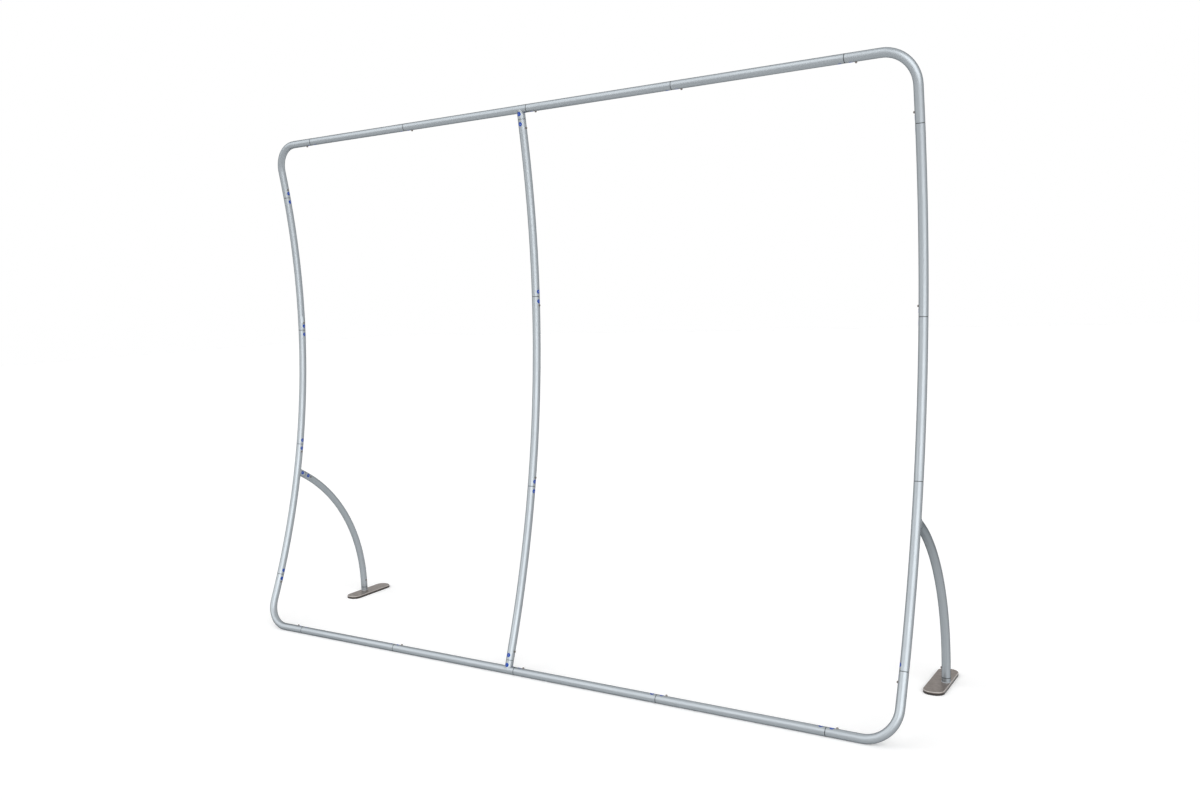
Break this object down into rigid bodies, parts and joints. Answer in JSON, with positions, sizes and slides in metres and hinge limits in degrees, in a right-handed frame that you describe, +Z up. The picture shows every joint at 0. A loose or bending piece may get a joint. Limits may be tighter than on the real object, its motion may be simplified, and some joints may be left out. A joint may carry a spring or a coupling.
{
  "type": "pop up display backwall frame",
  "caption": "Wide free-standing display backwall frame of plug-together tube, with bowed sides and middle post, rounded corners and curved rear legs on flat foot plates.",
  "frame": {"origin": "on the floor, at the middle of the whole object in width and in depth", "axes": "+X to the right along the backwall, +Y from its front to its back, +Z up"},
  "size_m": [3.004, 0.7881, 2.2483],
  "materials": {
    "tube": "satin anodised drawn tube",
    "spigot": "mill finish",
    "plate": "brushed steel plate, lacquered",
    "foot_socket": "silver lacquered steel tube, welded to the plate",
    "spring": "spring steel strip",
    "button": "plain steel, slightly dull"
  },
  "bodies": {
    "frame": {"top_rail_1": "tube", "top_rail_2": "tube", "top_rail_3": "tube", "top_rail_4": "tube", "bottom_rail_1": "tube", "bottom_rail_2": "tube", "bottom_rail_3": "tube", "bottom_rail_4": "tube", "top_left_elbow": "tube", "top_right_elbow": "tube", "bottom_left_elbow": "tube", "bottom_right_elbow": "tube", "left_side_lower": "tube", "left_side_middle": "tube", "left_side_upper": "tube", "right_side_lower": "tube", "right_side_middle": "tube", "right_side_upper": "tube", "post_lower": "tube", "post_middle": "tube", "post_upper": "tube", "left_leg": "tube", "right_leg": "tube", "left_foot_plate": "plate", "right_foot_plate": "plate", "top_rail_spigots": "spigot", "bottom_rail_spigots": "spigot", "side_spigots": "spigot", "post_spigots": "spigot", "leg_spigots": "spigot", "foot_sockets": "foot_socket", "button_springs": "spring"},
    "top_button_1_body": {"top_button_1": "button"},
    "top_button_2_body": {"top_button_2": "button"},
    "top_button_3_body": {"top_button_3": "button"},
    "top_button_4_body": {"top_button_4": "button"},
    "top_button_5_body": {"top_button_5": "button"},
    "bottom_button_1_body": {"bottom_button_1": "button"},
    "bottom_button_2_body": {"bottom_button_2": "button"},
    "bottom_button_3_body": {"bottom_button_3": "button"},
    "bottom_button_4_body": {"bottom_button_4": "button"},
    "bottom_button_5_body": {"bottom_button_5": "button"},
    "left_button_1_body": {"left_button_1": "button"},
    "left_button_2_body": {"left_button_2": "button"},
    "left_button_3_body": {"left_button_3": "button"},
    "left_button_4_body": {"left_button_4": "button"},
    "right_button_1_body": {"right_button_1": "button"},
    "right_button_2_body": {"right_button_2": "button"},
    "right_button_3_body": {"right_button_3": "button"},
    "right_button_4_body": {"right_button_4": "button"},
    "post_button_1_body": {"post_button_1": "button"},
    "post_button_2_body": {"post_button_2": "button"},
    "post_button_3_body": {"post_button_3": "button"},
    "post_button_4_body": {"post_button_4": "button"},
    "left_foot_button_body": {"left_foot_button": "button"},
    "left_leg_button_body": {"left_leg_button": "button"},
    "right_foot_button_body": {"right_foot_button": "button"},
    "right_leg_button_body": {"right_leg_button": "button"}
  },
  "joints": [
    {"name": "press_top_button_1", "type": "slide", "parent": "frame", "child": "top_button_1_body", "axis": [0, -0.1757, 0.9844], "range_m": [0, 0.0065], "stiffness_N_per_m": 1500, "springref_m": -0.003, "deforming": ["button_springs"]},
    {"name": "press_top_button_2", "type": "slide", "parent": "frame", "child": "top_button_2_body", "axis": [0, -0.1757, 0.9844], "range_m": [0, 0.0065], "stiffness_N_per_m": 1500, "springref_m": -0.003, "deforming": ["button_springs"]},
    {"name": "press_top_button_3", "type": "slide", "parent": "frame", "child": "top_button_3_body", "axis": [0, -0.1757, 0.9844], "range_m": [0, 0.0065], "stiffness_N_per_m": 1500, "springref_m": -0.003, "deforming": ["button_springs"]},
    {"name": "press_top_button_4", "type": "slide", "parent": "frame", "child": "top_button_4_body", "axis": [0, -0.1757, 0.9844], "range_m": [0, 0.0065], "stiffness_N_per_m": 1500, "springref_m": -0.003, "deforming": ["button_springs"]},
    {"name": "press_top_button_5", "type": "slide", "parent": "frame", "child": "top_button_5_body", "axis": [0, -0.1757, 0.9844], "range_m": [0, 0.0065], "stiffness_N_per_m": 1500, "springref_m": -0.003, "deforming": ["button_springs"]},
    {"name": "press_bottom_button_1", "type": "slide", "parent": "frame", "child": "bottom_button_1_body", "axis": [0, -0.4023, -0.9155], "range_m": [0, 0.0065], "stiffness_N_per_m": 1500, "springref_m": -0.003, "deforming": ["button_springs"]},
    {"name": "press_bottom_button_2", "type": "slide", "parent": "frame", "child": "bottom_button_2_body", "axis": [0, -0.4023, -0.9155], "range_m": [0, 0.0065], "stiffness_N_per_m": 1500, "springref_m": -0.003, "deforming": ["button_springs"]},
    {"name": "press_bottom_button_3", "type": "slide", "parent": "frame", "child": "bottom_button_3_body", "axis": [0, -0.4023, -0.9155], "range_m": [0, 0.0065], "stiffness_N_per_m": 1500, "springref_m": -0.003, "deforming": ["button_springs"]},
    {"name": "press_bottom_button_4", "type": "slide", "parent": "frame", "child": "bottom_button_4_body", "axis": [0, -0.4023, -0.9155], "range_m": [0, 0.0065], "stiffness_N_per_m": 1500, "springref_m": -0.003, "deforming": ["button_springs"]},
    {"name": "press_bottom_button_5", "type": "slide", "parent": "frame", "child": "bottom_button_5_body", "axis": [0, -0.4023, -0.9155], "range_m": [0, 0.0065], "stiffness_N_per_m": 1500, "springref_m": -0.003, "deforming": ["button_springs"]},
    {"name": "press_left_button_1", "type": "slide", "parent": "frame", "child": "left_button_1_body", "axis": [-1, 0, 0], "range_m": [0, 0.0065], "stiffness_N_per_m": 1500, "springref_m": -0.003, "deforming": ["button_springs"]},
    {"name": "press_left_button_2", "type": "slide", "parent": "frame", "child": "left_button_2_body", "axis": [-1, 0, 0], "range_m": [0, 0.0065], "stiffness_N_per_m": 1500, "springref_m": -0.003, "deforming": ["button_springs"]},
    {"name": "press_left_button_3", "type": "slide", "parent": "frame", "child": "left_button_3_body", "axis": [-1, 0, 0], "range_m": [0, 0.0065], "stiffness_N_per_m": 1500, "springref_m": -0.003, "deforming": ["button_springs"]},
    {"name": "press_left_button_4", "type": "slide", "parent": "frame", "child": "left_button_4_body", "axis": [-1, 0, 0], "range_m": [0, 0.0065], "stiffness_N_per_m": 1500, "springref_m": -0.003, "deforming": ["button_springs"]},
    {"name": "press_right_button_1", "type": "slide", "parent": "frame", "child": "right_button_1_body", "axis": [1, 0, 0], "range_m": [0, 0.0065], "stiffness_N_per_m": 1500, "springref_m": -0.003, "deforming": ["button_springs"]},
    {"name": "press_right_button_2", "type": "slide", "parent": "frame", "child": "right_button_2_body", "axis": [0, -0.9783, 0.2071], "range_m": [0, 0.0065], "stiffness_N_per_m": 1500, "springref_m": -0.003, "deforming": ["button_springs"]},
    {"name": "press_right_button_3", "type": "slide", "parent": "frame", "child": "right_button_3_body", "axis": [1, 0, 0], "range_m": [0, 0.0065], "stiffness_N_per_m": 1500, "springref_m": -0.003, "deforming": ["button_springs"]},
    {"name": "press_right_button_4", "type": "slide", "parent": "frame", "child": "right_button_4_body", "axis": [1, 0, 0], "range_m": [0, 0.0065], "stiffness_N_per_m": 1500, "springref_m": -0.003, "deforming": ["button_springs"]},
    {"name": "press_post_button_1", "type": "slide", "parent": "frame", "child": "post_button_1_body", "axis": [-1, 0, 0], "range_m": [0, 0.0065], "stiffness_N_per_m": 1500, "springref_m": -0.003, "deforming": ["button_springs"]},
    {"name": "press_post_button_2", "type": "slide", "parent": "frame", "child": "post_button_2_body", "axis": [-1, 0, 0], "range_m": [0, 0.0065], "stiffness_N_per_m": 1500, "springref_m": -0.003, "deforming": ["button_springs"]},
    {"name": "press_post_button_3", "type": "slide", "parent": "frame", "child": "post_button_3_body", "axis": [-1, 0, 0], "range_m": [0, 0.0065], "stiffness_N_per_m": 1500, "springref_m": -0.003, "deforming": ["button_springs"]},
    {"name": "press_post_button_4", "type": "slide", "parent": "frame", "child": "post_button_4_body", "axis": [-1, 0, 0], "range_m": [0, 0.0065], "stiffness_N_per_m": 1500, "springref_m": -0.003, "deforming": ["button_springs"]},
    {"name": "press_left_foot_button", "type": "slide", "parent": "frame", "child": "left_foot_button_body", "axis": [-1, 0, 0], "range_m": [0, 0.0065], "stiffness_N_per_m": 1500, "springref_m": -0.003, "deforming": ["button_springs"]},
    {"name": "press_left_leg_button", "type": "slide", "parent": "frame", "child": "left_leg_button_body", "axis": [-1, 0, 0], "range_m": [0, 0.0065], "stiffness_N_per_m": 1500, "springref_m": -0.003, "deforming": ["button_springs"]},
    {"name": "press_right_foot_button", "type": "slide", "parent": "frame", "child": "right_foot_button_body", "axis": [1, 0, 0], "range_m": [0, 0.0065], "stiffness_N_per_m": 1500, "springref_m": -0.003, "deforming": ["button_springs"]},
    {"name": "press_right_leg_button", "type": "slide", "parent": "frame", "child": "right_leg_button_body", "axis": [1, 0, 0], "range_m": [0, 0.0065], "stiffness_N_per_m": 1500, "springref_m": -0.003, "deforming": ["button_springs"]}
  ]
}
